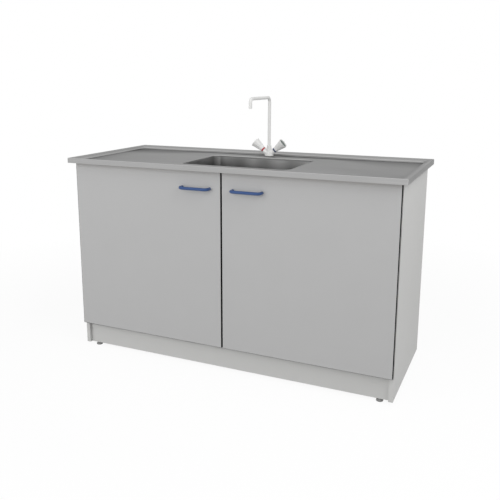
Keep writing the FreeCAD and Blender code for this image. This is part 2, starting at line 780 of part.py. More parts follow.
ring = on_valve(tube(ring_radius, ring_bore, Vector(0, 0, boss_end + beyond), Vector(0, 0, handle_start)))
handle_foot = valve_neck_end + end_play
web_top = handle_start + 4
hub_end = spindle_end + 2
cap_start = handle_end - cap_recess - cap_thickness
cap_end = handle_end - cap_recess
cap_radii = (cone_radius(cap_start) - handle_wall, cone_radius(cap_end) - handle_wall)
handle_profile = [(spindle_radius, handle_foot), (ring_bore, handle_foot), (ring_bore, handle_start),
                  (handle_root_radius, handle_start), (handle_tip_radius, handle_end),
                  (handle_tip_radius - handle_wall, handle_end),
                  (cone_radius(web_top) - handle_wall, web_top), (hub_radius, web_top),
                  (hub_radius, hub_end), (spindle_radius, hub_end)]
cap = Part.makeCone(cap_radii[0], cap_radii[1], cap_thickness, Vector(0, 0, cap_start))
cold_side = {
    "spindle": valve_rod(spindle_radius, spindle_start, spindle_end),
    "ring": ring,
    "handle": on_valve(turned(handle_profile)),
    "handle_cap": on_valve(cap),
}
for name, shape in cold_side.items():
    parts["cold_" + name] = shape
    parts["hot_" + name] = mirrored(shape)


# ---------------------------------------------------------------- door hinges

pin_x = -door_edge + pin_from_edge
pin_y = door_back - pin_depth
cup_x = -door_edge + cup_from_edge
plate_x = (-inner_half, -inner_half + hinge_plate_thickness)
arm_x = (plate_x[1], plate_x[1] + hinge_arm_thickness)
neck = 2.6
cups = []
arms = []
plates = []
pins = []
cup_holes = []
for height in hinge_heights:
    mouth = Vector(cup_x, door_back, height)
    cup_end = mouth - Vector(0, cup_depth, 0)
    rim = mouth + Vector(0, cup_flange, 0)
    pin_low = Vector(pin_x, pin_y, height - hinge_pin_length / 2)
    pin_high = Vector(pin_x, pin_y, height + hinge_pin_length / 2)
    play = Vector(0, 0, end_play)

    # The cup has a pocket for the arm's eye and is trimmed back from the door's edge.
    cup = rod(cup_radius, cup_end, mouth).fuse(rod(cup_flange_radius, mouth, rim))
    pocket = box((pin_x - hinge_eye_radius - end_play, cup_x + 15),
                 (cup_end.y + 0.8, rim.y + beyond), around(height, hinge_arm_width + beyond))
    trim = box((-door_edge + 1.5, cup_x + cup_flange_radius), (cup_end.y, rim.y),
               around(height, 2 * cup_flange_radius))
    pin_hole = rod(hinge_pin_radius + running_fit, pin_low - play, pin_high + play)
    cups.append(cup.cut(pocket).cut(pin_hole).common(trim))
    cup_holes.append(rod(cup_radius, cup_end, mouth))
    pins.append(rod(hinge_pin_radius, pin_low, pin_high))

    arm_z = around(height, hinge_arm_width)
    eye_low = Vector(pin_x, pin_y, arm_z[0])
    eye_high = Vector(pin_x, pin_y, arm_z[1])
    arm = rod(hinge_eye_radius, eye_low, eye_high)
    arm = arm.fuse(box((pin_x, arm_x[1]), around(pin_y, neck), arm_z))
    arm = arm.fuse(box(arm_x, (pin_y - neck / 2, hinge_plate_y[1]), arm_z)).removeSplitter()
    arms.append(arm.cut(rod(hinge_pin_radius, eye_low, eye_high)))
    plates.append(cut_all(box(plate_x, hinge_plate_y, around(height, hinge_plate_height)), left_shanks))

parts["hinge_arms"] = Part.makeCompound(both_sides(arms))
parts["hinge_plates"] = Part.makeCompound(both_sides(plates))
parts["hinge_pins"] = Part.makeCompound(both_sides(pins))
add_pair("hinge_cups", Part.makeCompound(cups))


# ---------------------------------------------------------------- doors and their handles

door_x = (-door_edge, -door_centre_gap / 2)
door_z = (door_bottom, door_top)
door_y = (door_face, door_back)
handle_z = door_top - handle_from_top
inner_foot = Vector(door_x[1] - handle_from_edge, door_face, handle_z)
outer_foot = inner_foot - Vector(handle_spacing, 0, 0)

handle_screws = []
screw_holes = []
for foot in (inner_foot, outer_foot):
    seat = Vector(foot.x, door_back, handle_z)
    shank = rod(handle_screw_radius, seat, foot - Vector(0, handle_screw_reach, 0))
    head = rod(2 * handle_screw_radius, seat, seat + Vector(0, 2.5, 0))
    handle_screws.append(shank.fuse(head))
    screw_holes.append(shank)
add_pair("handle_screws", Part.makeCompound(handle_screws))

# The edge banding runs round the board and shows from the front as a fine line.
leaf = box(grown(door_x, -edging), door_y, grown(door_z, -edging))
add_pair("door_panel", cut_all(leaf, cup_holes + screw_holes))
add_pair("door_edging", box(door_x, door_y, door_z).cut(leaf))

stand_off = Vector(0, -handle_reach, 0)
handle_route = [outer_foot, outer_foot + stand_off, inner_foot + stand_off, inner_foot]
add_pair("door_handle", cut_all(bent_rod(handle_route, handle_bend, handle_radius), screw_holes))

# Small buffers on the cabinet's front edges stop both doors.
buffer_radius = 4.5
buffer_x = -40.0
left_buffers = []
for height in (sum(bottom_z) / 2, (top_rail_z[0] + door_top) / 2):
    seat = Vector(buffer_x, carcass_front, height)
    left_buffers.append(rod(buffer_radius, seat, seat - Vector(0, door_gap, 0)))
parts["door_buffers"] = Part.makeCompound(both_sides(left_buffers))


# ---------------------------------------------------------------- export

os.makedirs("parts", exist_ok=True)
for name, shape in parts.items():
    shape.exportStep("parts/" + name + ".step")
    print(name, len(shape.Solids), round(shape.Volume), shape.isValid())
print(len(parts), "nodes")
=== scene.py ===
import bpy
import bmesh
import math
from mathutils import Matrix, Vector


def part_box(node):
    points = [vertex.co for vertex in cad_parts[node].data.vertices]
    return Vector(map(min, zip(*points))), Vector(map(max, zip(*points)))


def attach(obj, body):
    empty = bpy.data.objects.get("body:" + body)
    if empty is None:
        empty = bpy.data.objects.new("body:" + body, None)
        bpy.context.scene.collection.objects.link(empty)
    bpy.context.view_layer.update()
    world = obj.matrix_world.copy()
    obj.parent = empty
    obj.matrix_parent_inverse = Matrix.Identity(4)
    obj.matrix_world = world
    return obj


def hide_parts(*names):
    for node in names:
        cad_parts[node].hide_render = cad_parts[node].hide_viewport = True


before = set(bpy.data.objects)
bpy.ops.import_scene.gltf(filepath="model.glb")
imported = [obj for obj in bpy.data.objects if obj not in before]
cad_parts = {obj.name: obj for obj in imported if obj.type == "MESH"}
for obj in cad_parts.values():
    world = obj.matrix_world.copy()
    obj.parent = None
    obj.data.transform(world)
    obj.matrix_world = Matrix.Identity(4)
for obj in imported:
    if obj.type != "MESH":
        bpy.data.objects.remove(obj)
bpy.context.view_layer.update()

# ---------------------------------------------------------------- studio
# The unit stands on a plain white floor in even white light. One large soft lamp in front
# and one at the right give the faces their slight differences.

camera_data = bpy.data.cameras.new("camera")
camera_data.lens = 46.34
camera_data.shift_x = 0.02176
camera_data.shift_y = -0.0728
camera = bpy.data.objects.new("camera", camera_data)
camera.location = (1.13642, -2.60352, 1.24966)
camera.rotation_euler = (math.radians(78.092), 0, math.radians(24.470))
bpy.context.scene.collection.objects.link(camera)
bpy.context.scene.camera = camera
bpy.context.scene.view_settings.view_transform = "Standard"


class Reading:
    """What one socket gives over a surface; sums and products add their Math nodes."""

    def __init__(self, finish, socket):
        self.finish = finish
        self.socket = socket

    def worked(self, operation, first, second):
        return self.finish.node("Math", {"operation": operation}, {0: first, 1: second})

    def __add__(self, other):
        return self.worked("ADD", self, other)

    def __radd__(self, other):
        return self.worked("ADD", other, self)

    def __sub__(self, other):
        return self.worked("SUBTRACT", self, other)

    def __rsub__(self, other):
        return self.worked("SUBTRACT", other, self)

    def __mul__(self, other):
        return self.worked("MULTIPLY", self, other)

    def __rmul__(self, other):
        return self.worked("MULTIPLY", other, self)


class Finish:
    """A surface finish: plain values sit on its shader, patterns are fed to it."""

    def __init__(self, name, tree=None, **plain):
        if tree is None:
            self.material = bpy.data.materials.new(name)
            self.material.use_nodes = True
            tree = self.material.node_tree
            self.shader = tree.nodes["Principled BSDF"]
            for socket, value in plain.items():
                self.shader.inputs[socket.replace("_", " ")].default_value = value
        self.tree = tree

    def feed(self, socket, value):
        if isinstance(value, Reading):
            self.tree.links.new(value.socket, socket)
        else:
            socket.default_value = value

    def node(self, kind, settings, inputs, output=0):
        made = self.tree.nodes.new("ShaderNode" + kind)
        for name, value in settings.items():
            setattr(made, name, value)
        for name, value in inputs.items():
            self.feed(made.inputs[name], value)
        return Reading(self, made.outputs[output])

    def noise(self, scale, stretch=(1, 1, 1), detail=2.0):
        """Soft noise from 0 to 1 on the piece's own coordinates, in cells per metre."""
        place = self.node("TexCoord", {}, {}, "Object")
        place = self.node("VectorMath", {"operation": "MULTIPLY"}, {0: place, 1: stretch})
        return self.node("TexNoise", {}, {"Vector": place, "Scale": scale, "Detail": detail})

    def colour(self, share, first, second):
        """Base colour between two colours, by a reading from 0 to 1."""
        # The Mix node's colours are its sockets 6 and 7, and its mixed colour is output 2.
        sockets = {0: share, 6: (*first, 1), 7: (*second, 1)}
        mixed = self.node("Mix", {"data_type": "RGBA"}, sockets, 2)
        self.feed(self.shader.inputs["Base Color"], mixed)

    def roughness(self, reading):
        self.feed(self.shader.inputs["Roughness"], reading)

    def bump(self, height, depth, strength=0.5):
        """Relief of a depth in metres."""
        relief = self.node("Bump", {}, {"Height": height, "Distance": depth, "Strength": strength})
        self.feed(self.shader.inputs["Normal"], relief)


def seen_directly(finish):
    """1 for what the camera sees, straight or in metal or glass, and 0 for other light."""
    rays = ["Is Camera Ray", "Is Glossy Ray", "Is Transmission Ray"]
    direct, glossy, through = [finish.node("LightPath", {}, {}, ray) for ray in rays]
    either = finish.node("Math", {"operation": "MAXIMUM"}, {0: direct, 1: glossy})
    return finish.node("Math", {"operation": "MAXIMUM"}, {0: either, 1: through})


# The sky lights the unit with less than the full white that the camera sees. The floor
# glows white to the camera, a little less near the unit, so that it keeps the shadow.
sky_level = 0.43
world = bpy.data.worlds.new("studio")
world.use_nodes = True
bpy.context.scene.world = world
sky = Finish("sky", world.node_tree)
background = world.node_tree.nodes["Background"]
background.inputs["Color"].default_value = (1, 1, 1, 1)
sky.feed(background.inputs["Strength"], sky_level + seen_directly(sky) * (1 - sky_level))

floor_size = 60.0
floor_glow = 0.92
floor_bounce = 0.49
shadow_reach, full_glow_reach = 1.2, 2.6
floor_mesh = bpy.data.meshes.new("floor")
half = floor_size / 2
floor_mesh.from_pydata([(-half, -half, 0), (half, -half, 0), (half, half, 0), (-half, half, 0)],
                       [], [(0, 1, 2, 3)])
floor = bpy.data.objects.new("floor", floor_mesh)
bpy.context.scene.collection.objects.link(floor)
floor_finish = Finish("white_floor", Roughness=0.9, Specular_IOR_Level=0.0)
floor_finish.colour(seen_directly(floor_finish), (floor_bounce,) * 3, (1, 1, 1))
glow = floor_finish.node("Emission", {}, {"Color": (1, 1, 1, 1), "Strength": 1.0})
lit = Reading(floor_finish, floor_finish.shader.outputs[0])
place = floor_finish.node("TexCoord", {}, {}, "Object")
distance = floor_finish.node("VectorMath", {"operation": "LENGTH"}, {0: place}, "Value")
far = floor_finish.node("MapRange", {}, {"Value": distance, "From Min": shadow_reach,
                                         "From Max": full_glow_reach})
glow_share = seen_directly(floor_finish) * (floor_glow + far * (1 - floor_glow))
mixed = floor_finish.node("MixShader", {}, {0: glow_share, 1: lit, 2: glow})
floor_finish.feed(floor_finish.tree.nodes["Material Output"].inputs["Surface"], mixed)
floor_mesh.materials.append(floor_finish.material)

lit_middle = Vector((0, 0, 0.6))
for name, place, watts, width in (("front_lamp", (-1.6, -4.1, 1.45), 125.0, 4.2),
                                  ("side_lamp", (2.6, -1.1, 2.8), 62.0, 2.6)):
    lamp_data = bpy.data.lights.new(name, "AREA")
    lamp_data.energy = watts
    lamp_data.size = width
    lamp = bpy.data.objects.new(name, lamp_data)
    lamp.location = place
    aim = lit_middle - Vector(place)
    lamp.rotation_euler = aim.to_track_quat("-Z", "Y").to_euler()
    lamp.visible_camera = False
    lamp.visible_glossy = False
    bpy.context.scene.collection.objects.link(lamp)


# ---------------------------------------------------------------- cabinet boards
# Sides, floor, back, rails and plinth of 18 mm chipboard faced with pale grey melamine,
# with banded edges. Beech dowels, glued into the ends, hold them together.

def whole_mesh(node):
    """A CAD node's shape with its loose triangles merged and its flat faces made whole."""
    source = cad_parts[node].data
    mesh = bpy.data.meshes.new(node)
    mesh.from_pydata([v.co for v in source.vertices], [], [p.vertices[:] for p in source.polygons])
    shape = bmesh.new()
    shape.from_mesh(mesh)
    bmesh.ops.remove_doubles(shape, verts=shape.verts, dist=2e-6)
    bmesh.ops.dissolve_limit(shape, angle_limit=math.radians(0.05), verts=shape.verts,
                             edges=shape.edges)
    shape.to_mesh(mesh)
    shape.free()
    return mesh


def finished(name, mesh, body, finish, nodes=(), crease=35.0, rounding=0.0):
    """Piece from a mesh: smooth up to the crease angle, with rounded edges, on its body."""
    shape = bmesh.new()
    shape.from_mesh(mesh)
    for face in shape.faces:
        face.smooth = True
    for edge in shape.edges:
        edge.smooth = len(edge.link_faces) == 2 and edge.calc_face_angle() < math.radians(crease)
    shape.to_mesh(mesh)
    shape.free()
    mesh.materials.clear()
    mesh.materials.append(finish.material)
    piece = bpy.data.objects.new(name, mesh)
    bpy.context.scene.collection.objects.link(piece)
    if rounding:
        bevel = piece.modifiers.new("rounding", "BEVEL")
        bevel.width = rounding
        bevel.segments = 3
        bevel.limit_method = "ANGLE"
        bevel.angle_limit = math.radians(crease)
        bevel.harden_normals = True
    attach(piece, body)
    if nodes:
        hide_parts(*nodes)
    return piece


def dressed(node, body, finish, crease=35.0, rounding=0.0):
    """The CAD node's own shape, smoothed, rounded and finished, in its place."""
    mesh = whole_mesh(node)
    return finished(node + "_piece", mesh, body, finish, (node,), crease, rounding)


def melamine(name, light, dark):
    """Melamine film: a satin pearl texture and a print that varies very slightly."""
    film = Finish(name, Specular_IOR_Level=0.4)
    film.colour(film.noise(700, detail=4) * 0.7 + film.noise(9) * 0.3, light, dark)
    film.roughness(0.40 + film.noise(260, detail=3) * 0.14)
    film.bump(film.noise(1500, detail=3), 0.00008, 0.35)
    return film


carcass_film = melamine("carcass_melamine", (0.585, 0.585, 0.575), (0.535, 0.535, 0.525))
for node in ("left_side_panel", "right_side_panel", "bottom_panel", "front_top_rail",
             "rear_top_rail", "front_plinth_board", "rear_plinth_board"):
    dressed(node, "cabinet", carcass_film, rounding=0.0007)
dressed("back_panel", "cabinet", carcass_film, rounding=0.0003)

beech = Finish("beech", Specular_IOR_Level=0.3)
beech.colour(beech.noise(90, (0.12, 6, 6), 3), (0.62, 0.43, 0.24), (0.44, 0.28, 0.14))
beech.roughness(0.6 + beech.noise(400, (0.1, 4, 4)) * 0.2)
dressed("carcass_dowels", "cabinet", beech, rounding=0.0005)


# ---------------------------------------------------------------- levelling feet
# Moulded foot discs on threaded steel spindles, which screw up into zinc sockets that
# are pressed into the lower edges of the plinth boards.

def turned(profile, steps=96, flute=None):
    """Mesh turned about Z from a closed profile of (radius, height) points."""
    shape = bmesh.new()
    rings = []
    for radius, height in profile:
        ring = []
        for step in range(steps):
            angle = 2 * math.pi * step / steps
            reach = radius - flute(angle, height, radius) if flute else radius
            ring.append(shape.verts.new((reach * math.cos(angle), reach * math.sin(angle), height)))
        rings.append(ring)
    for ring, above in zip(rings, rings[1:] + rings[:1]):
        for step in range(steps):
            corner = (step + 1) % steps
            shape.faces.new((ring[step], ring[corner], above[corner], above[step]))
    bmesh.ops.remove_doubles(shape, verts=shape.verts, dist=1e-7)
    bmesh.ops.recalc_face_normals(shape, faces=shape.faces)
    mesh = bpy.data.meshes.new("turned")
    shape.to_mesh(mesh)
    shape.free()
    return mesh


def joined(meshes):
    """One mesh of several, each given with where it goes."""
    shape = bmesh.new()
    for mesh, place in meshes:
        part = mesh.copy()
        part.transform(place)
        shape.from_mesh(part)
    whole = bpy.data.meshes.new("joined")
    shape.to_mesh(whole)
    shape.free()
    return whole


def at(x, y, z):
    return Matrix.Translation((x, y, z))


def threaded(radius, depth, pitch, low, high, steps=40):
    """Rod with a helical thread, whose crests are at the radius."""
    shape = bmesh.new()
    levels_per_turn = 8
    count = int((high - low) / pitch * levels_per_turn)
    rings = []
    for level in range(count + 1):
        height = low + (high - low) * level / count
        ring = []
        for step in range(steps):
            turn = step / steps
            phase = ((height - low) / pitch - turn) % 1.0
            reach = radius - depth * abs(2 * phase - 1)
            angle = 2 * math.pi * turn
            ring.append(shape.verts.new((reach * math.cos(angle), reach * math.sin(angle), height)))
        rings.append(ring)
    for ring, above in zip(rings, rings[1:]):
        for step in range(steps):
            corner = (step + 1) % steps
            shape.faces.new((ring[step], ring[corner], above[corner], above[step]))
    shape.faces.new(list(reversed(rings[0])))
    shape.faces.new(rings[-1])
    mesh = bpy.data.meshes.new("thread")
    shape.to_mesh(mesh)
    shape.free()
    return mesh


def geometry_tree(name, inputs):
    """A new geometry tree with its named inputs, and the inputs' identifiers by name."""
    tree = bpy.data.node_groups.new(name, "GeometryNodeTree")
    tree.interface.new_socket(name="Geometry", in_out="OUTPUT", socket_type="NodeSocketGeometry")
    identifiers = {}
    for label, kind in (("Geometry", "Geometry"), *inputs):
        made = tree.interface.new_socket(name=label, in_out="INPUT",
                                         socket_type="NodeSocket" + kind)
        identifiers[label] = made.identifier
    return tree, identifiers


def tree_node(tree, kind, links, **settings):
    """A node of a geometry tree with its settings, values and links."""
    made = tree.nodes.new(kind)
    for name, value in settings.items():
        setattr(made, name, value)
    for name, value in links.items():
        if isinstance(value, bpy.types.NodeSocket):
            tree.links.new(value, made.inputs[name])
        else:
            made.inputs[name].default_value = value
    return made


def end_tree(tree, geometry, finish):
    """Ends a geometry tree: its copies become real meshes of one finish."""
    real = tree_node(tree, "GeometryNodeRealizeInstances", {"Geometry": geometry})
    coated = tree_node(tree, "GeometryNodeSetMaterial",
                       {"Geometry": real.outputs[0], "Material": finish})
    end = tree.nodes.new("NodeGroupOutput")
    tree.links.new(coated.outputs[0], end.inputs[0])


ribbing, rib_inputs = geometry_tree("ribs_around", (
    ("Ribs", "Int"), ("Circle", "Float"), ("Rib radius", "Float"), ("Rib length", "Float"),
    ("Middle", "Vector"), ("Finish", "Material")))
given = ribbing.nodes.new("NodeGroupInput").outputs
circle = tree_node(ribbing, "GeometryNodeMeshCircle",
                   {"Vertices": given["Ribs"], "Radius": given["Circle"]})
moved = tree_node(ribbing, "GeometryNodeTransform",
                  {"Geometry": circle.outputs[0], "Translation": given["Middle"]})
rib = tree_node(ribbing, "GeometryNodeMeshCylinder",
                {"Vertices": 10, "Radius": given["Rib radius"], "Depth": given["Rib length"]})
placed = tree_node(ribbing, "GeometryNodeInstanceOnPoints",
                   {"Points": moved.outputs[0], "Instance": rib.outputs[0]})
whole = tree_node(ribbing, "GeometryNodeJoinGeometry", {})
ribbing.links.new(given["Geometry"], whole.inputs[0])
ribbing.links.new(placed.outputs[0], whole.inputs[0])
end_tree(ribbing, whole.outputs[0], given["Finish"])


def grown_mesh(mesh, tree, values):
    """Plain mesh of what a geometry tree makes of a mesh, with its inputs set by identifier."""
    carrier = bpy.data.objects.new("carrier", mesh)
    bpy.context.scene.collection.objects.link(carrier)
    modifier = carrier.modifiers.new("tree", "NODES")
    modifier.node_group = tree
    for identifier, value in values.items():
        modifier[identifier] = value
    evaluated = carrier.evaluated_get(bpy.context.evaluated_depsgraph_get())
    result = bpy.data.meshes.new_from_object(evaluated)
    bpy.data.objects.remove(carrier)
    return result


def ribbed(mesh, finish, ribs, circle, rib_radius, rib_length, middle):
    """The mesh with half-round ribs standing on a circle about Z."""
    names = ("Ribs", "Circle", "Rib radius", "Rib length", "Middle", "Finish")
    sizes = (ribs, circle, rib_radius, rib_length, middle, finish.material)
    return grown_mesh(mesh, ribbing, {rib_inputs[name]: size for name, size in zip(names, sizes)})


zinc = Finish("zinc_plate", Metallic=1.0)
zinc.colour(zinc.noise(350, detail=4), (0.50, 0.51, 0.53), (0.33, 0.34, 0.36))
zinc.roughness(0.28 + zinc.noise(900, detail=3) * 0.2)
zinc.bump(zinc.noise(2600), 0.00003, 0.3)

foot_plastic = Finish("foot_plastic", Specular_IOR_Level=0.35)
foot_plastic.colour(foot_plastic.noise(500, detail=3), (0.300, 0.300, 0.296), (0.235, 0.235, 0.232))
foot_plastic.roughness(0.5 + foot_plastic.noise(1200) * 0.2)
foot_plastic.bump(foot_plastic.noise(2200), 0.00006, 0.4)

# A disc with 28 gripping ribs, and an M8 spindle; both are made about Z.
disc_profile = [(0.0, 0.0006), (0.0100, 0.0006), (0.0106, 0.0), (0.0124, 0.0), (0.0132, 0.0008),
                (0.0132, 0.0058), (0.0126, 0.0072), (0.0114, 0.0078), (0.0078, 0.0080),
                (0.0072, 0.0086), (0.0068, 0.0100), (0.0, 0.0100)]
disc = ribbed(turned(disc_profile), foot_plastic, ribs=28, circle=0.0132, rib_radius=0.0008,
              rib_length=0.0046, middle=(0, 0, 0.0033))
spindle_radius, thread_depth, thread_pitch, spindle_base = 0.0040, 0.0005, 0.00125, 0.0095
for node in ("front_left_foot", "front_right_foot", "rear_left_foot", "rear_right_foot"):
    low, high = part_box(node)
    middle = (low + high) / 2
    stand = at(middle.x, middle.y, 0)
    finished(node + "_disc", joined([(disc, stand)]), node, foot_plastic, (node,),
             crease=30)
    spindle = threaded(spindle_radius, thread_depth, thread_pitch, spindle_base, high.z)
    finished(node + "_spindle", joined([(spindle, stand)]), node, zinc, crease=80)
dressed("foot_sockets", "cabinet", zinc, rounding=0.0003)


# ---------------------------------------------------------------- hinges and their screws
# Zinc-plated cup hinges: a plate screwed to the side, an arm clipped on it, and a pressed
# cup in the door that turns on a pin. The same pan-head screws hold the worktop brackets.

for node, body, rounding in (("hinge_plates", "cabinet", 0.0004), ("hinge_arms", "cabinet", 0.0004),
                             ("hinge_pins", "cabinet", 0.0002),
                             ("left_hinge_cups", "left_door", 0.0004),
                             ("right_hinge_cups", "right_door", 0.0004),
                             ("worktop_brackets", "cabinet", 0.0004)):
    dressed(node, body, zinc, rounding=rounding)

copying, copy_inputs = geometry_tree("one_at_each_place", (
    ("Piece", "Object"), ("Turn", "Vector"), ("Finish", "Material")))
given = copying.nodes.new("NodeGroupInput").outputs
model = tree_node(copying, "GeometryNodeObjectInfo", {"Object": given["Piece"]})
placed = tree_node(copying, "GeometryNodeInstanceOnPoints",
                   {"Points": given["Geometry"], "Instance": model.outputs["Geometry"],
                    "Rotation": given["Turn"]})
end_tree(copying, placed.outputs[0], given["Finish"])


def copies(mesh, places, turn, finish):
    """Plain mesh with one copy of a mesh at each place, all turned the same way."""
    points = bpy.data.meshes.new("places")
    points.from_pydata(places, [], [])
    model_object = bpy.data.objects.new("model", mesh)
    bpy.context.scene.collection.objects.link(model_object)
    values = {copy_inputs["Piece"]: model_object, copy_inputs["Turn"]: turn,
              copy_inputs["Finish"]: finish.material}
    result = grown_mesh(points, copying, values)
    bpy.data.objects.remove(model_object)
    return result


def cross_recess(mesh, top, reach, depth):
    """The screw's mesh with a cross recess cut into its head from the top."""
    cutter_mesh = bpy.data.meshes.new("recess")
    shape = bmesh.new()
    arm_length, arm_width = reach * 2, reach * 0.36
    for width, length in ((arm_width, arm_length), (arm_length, arm_width)):
        size = Matrix.Diagonal((width, length, depth * 2, 1))
        bmesh.ops.create_cube(shape, size=1.0, matrix=at(0, 0, top) @ size)
    shape.to_mesh(cutter_mesh)
    shape.free()
    cutter = bpy.data.objects.new("recess", cutter_mesh)
    blank = bpy.data.objects.new("blank", mesh)
    for item in (cutter, blank):
        bpy.context.scene.collection.objects.link(item)
    cut = blank.modifiers.new("cut", "BOOLEAN")
    cut.operation = "DIFFERENCE"
    cut.object = cutter
    cut.use_self = True
    evaluated = blank.evaluated_get(bpy.context.evaluated_depsgraph_get())
    result = bpy.data.meshes.new_from_object(evaluated)
    bpy.data.objects.remove(cutter)
    bpy.data.objects.remove(blank)
    return result


# Screw about Z with its seat at 0: domed head above, tapered shank below.
screw_profile = [(0, 0.0020), (0.0012, 0.00195), (0.0024, 0.0017), (0.0032, 0.0011),
                 (0.0035, 0.0004), (0.0035, 0.0), (0.00175, 0.0), (0.00175, -0.0125),
                 (0.0004, -0.0139), (0, -0.0139)]
screw = cross_recess(turned(screw_profile, 48), top=0.0020, reach=0.0017, depth=0.0009)
low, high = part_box("hinge_plates")
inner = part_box("bottom_panel")[1].x
plate_thickness, near_hole, far_hole = 0.004, 0.007, 0.033
plate_rows = [low.z + near_hole, low.z + far_hole, high.z - far_hole, high.z - near_hole]
plate_seats = [(inner - plate_thickness, (low.y + high.y) / 2, z) for z in plate_rows]
bracket_thickness, bracket_middle, hole_below_top = 0.002, 0.015, 0.016
bracket_low, bracket_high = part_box("worktop_brackets")
bracket_seats = [(inner - bracket_thickness, y, bracket_high.z - hole_below_top)
                 for y in (bracket_low.y + bracket_middle, bracket_high.y - bracket_middle)]
for side, name in ((1, "right"), (-1, "left")):
    seats = [(side * x, y, z) for x, y, z in plate_seats + bracket_seats]
    screws = copies(screw, seats, (0, -side * math.pi / 2, 0), zinc)
    finished(name + "_mounting_screws", screws, "cabinet", zinc,
             ("mounting_screws",), crease=30)

# Two flat-head screws hold each cup's flange to the door, above and below the arm.
cup_screw_profile = [(0, 0.0006), (0.0018, 0.0005), (0.0024, 0.0002), (0.0024, 0.0), (0.0, 0.0)]
cup_screw = cross_recess(turned(cup_screw_profile, 40), top=0.0006, reach=0.0013, depth=0.0004)
cup_axis, flange_radius, cup_hole_offset = 0.7050, 0.020, 0.0135
for side, name in ((1, "right"), (-1, "left")):
    low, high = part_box(name + "_hinge_cups")
    places = []
    for z in (low.z + flange_radius, high.z - flange_radius):
        for step in (-cup_hole_offset, cup_hole_offset):
            places.append((side * cup_axis, high.y, z + step))
    screws = copies(cup_screw, places, (-math.pi / 2, 0, 0), zinc)
    finished(name + "_cup_screws", screws, name + "_door", zinc, crease=30)


# ---------------------------------------------------------------- worktop
# One pressed sheet of brushed stainless steel: a rim that rises round a sunk deck, a front
# and side apron folded under, and a rolled collar at the bowl. A board is bonded below.

def ramp(finish, reading, start, stop):
    """0 below start, 1 above stop and a smooth step between, or the reverse."""
    return finish.node("MapRange", {"interpolation_type": "SMOOTHSTEP"},
                       {"Value": reading, "From Min": start, "From Max": stop})


steel = Finish("brushed_sheet", Metallic=1.0, Specular_Tint=(0.40, 0.40, 0.40, 1))
place = steel.node("TexCoord", {}, {}, "Object")
facing = steel.node("TexCoord", {}, {}, "Normal")
x, y, z = [steel.node("SeparateXYZ", {}, {0: place}, axis) for axis in "XYZ"]
upward = steel.node("SeparateXYZ", {}, {0: facing}, "Z")
along_lines, across_lines = 5.0, 900.0
lines = steel.node("CombineXYZ", {},
                   {0: x * along_lines, 1: (y + z) * across_lines, 2: z * along_lines})
fine = steel.node("TexNoise", {}, {"Vector": lines, "Scale": 1.0, "Detail": 3.0})
wide = steel.noise(5, (0.5, 1.6, 1.6), 2)

# Painted light and shade: the tone follows which way each face turns, so the flat rim and
# the side aprons are painted lighter and the steep tray walls are painted dark. The slopes are
# painted darker towards the fold at their foot, with a band of painted shade there, which
# is widest near the ends of the deck.
low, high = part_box("worktop_sheet")
deck_drop, break_drop, deck_edge = 0.014, 0.006, 0.0008
deck_level, break_level = high.z - deck_drop, high.z - break_drop
side_foot, rear_foot = 0.032, 0.058
tray_start, tray_inside = 0.010, 0.014
apron_tone, apron_end_painted_light_tone, wall_painted_shade_tone = 0.425, 0.53, 0.37
rim_painted_light_tone, deck_tone = 0.575, 0.515
from_middle = steel.node("Math", {"operation": "ABSOLUTE"}, {0: x})
from_end = high.x - from_middle
from_rear = high.y - rear_foot - y
sideways = steel.node("SeparateXYZ", {}, {0: facing}, "X")
sideways = steel.node("Math", {"operation": "ABSOLUTE"}, {0: sideways})
level = ramp(steel, upward, 0.45, 0.85)
in_tray = ramp(steel, from_end, tray_start, tray_inside)
in_tray = in_tray * ramp(steel, y, low.y + tray_start, low.y + tray_inside)
on_deck = in_tray * ramp(steel, z, deck_level + deck_edge, deck_level)
# Painted light and shade by facing: lighter side aprons and rim, dark tray walls.
tone = apron_tone + ramp(steel, sideways, 0.5, 0.9) * (apron_end_painted_light_tone - apron_tone)
tone = tone + level * (rim_painted_light_tone - tone)
steep = in_tray * (1 - level)
tone = tone + steep * (wall_painted_shade_tone - tone)
tone = tone + on_deck * (deck_tone - tone)

# How much painted shade darkens the slopes at the sides and the bands along the foot.
side_slope_painted_shade, rear_loss, left_loss, right_loss = 0.26, 0.38, 0.14, 0.10
foot_height, foot_height_lost, foot_fade = 0.0078, 0.0036, 0.0025
band_width, band_widening, band_core = 0.05, 0.18, 0.2
left_band, right_band = 0.130, 0.025
down_slope = ramp(steel, sideways, 0.05, 0.2) * level * ramp(steel, z, high.z, break_level)
foot_top = deck_level + foot_height - ramp(steel, from_middle, 0.20, 0.55) * foot_height_lost
at_foot = in_tray * ramp(steel, z, foot_top, foot_top - foot_fade)
band = band_width + ramp(steel, from_middle, 0.25, 0.62) * band_widening
near_rear = ramp(steel, from_rear, band, band * band_core)
near_left = ramp(steel, x, low.x + side_foot + left_band, low.x + side_foot)
near_right = ramp(steel, x, high.x - side_foot - right_band, high.x - side_foot)
foot_painted_shade = near_rear * rear_loss + near_left * left_loss + near_right * right_loss
# Painted shade down the side slopes and along the foot of the tray.
painted_shade_factor = 1 - at_foot * foot_painted_shade - down_slope * side_slope_painted_shade
line_contrast, cloud_contrast = 0.126, 0.09
grain = (fine - 0.5) * line_contrast + (wide - 0.5) * cloud_contrast
steel.colour(tone * painted_shade_factor + grain, (0.0, 0.0, 0.0), (1.0, 1.0, 0.995))
steel.roughness(0.24 + fine * 0.08 + wide * 0.04)
steel.bump(fine, 0.00002, 0.25)
dressed("worktop_sheet", "cabinet", steel, crease=25)

